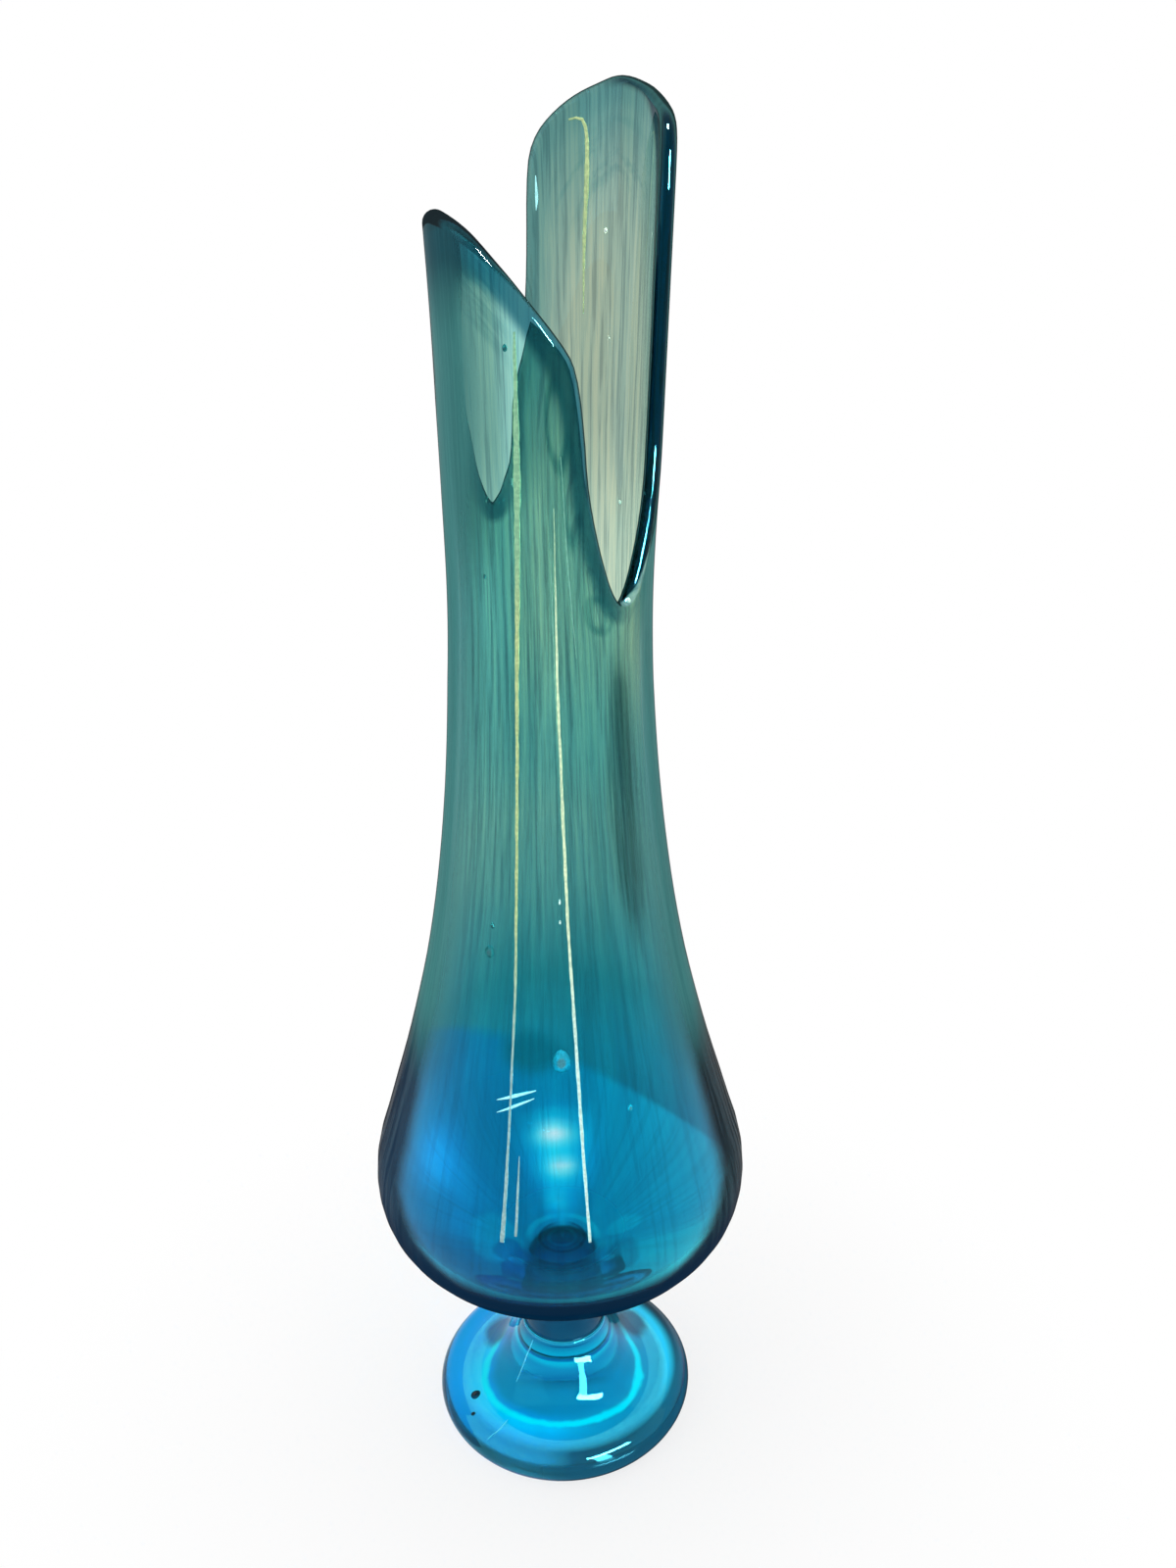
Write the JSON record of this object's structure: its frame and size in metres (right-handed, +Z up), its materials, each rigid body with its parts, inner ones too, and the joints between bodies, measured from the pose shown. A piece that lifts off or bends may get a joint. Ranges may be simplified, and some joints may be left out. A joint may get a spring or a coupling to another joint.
{
  "type": "swung glass vase",
  "caption": "Footed glass vase: a round bulb drawn up into a long neck with a tall and a short lip, on a short stem and a round foot.",
  "frame": {"origin": "centre of the foot's resting ring, on the surface that the vase stands on", "axes": "+Z up along the vase's axis, -Y towards the front, where the deeper notch is, +X to the right of the front view"},
  "size_m": [0.136, 0.136, 0.471],
  "materials": {
    "body_glass": "clear teal-blue glass, fire-polished, with fine drawn lines",
    "stem_glass": "clear deep blue glass, solid",
    "foot_glass": "clear bright blue glass, pressed and fire-polished"
  },
  "bodies": {
    "root": {"vase_body": "body_glass", "stem": "stem_glass", "foot": "foot_glass"}
  },
  "joints": []
}
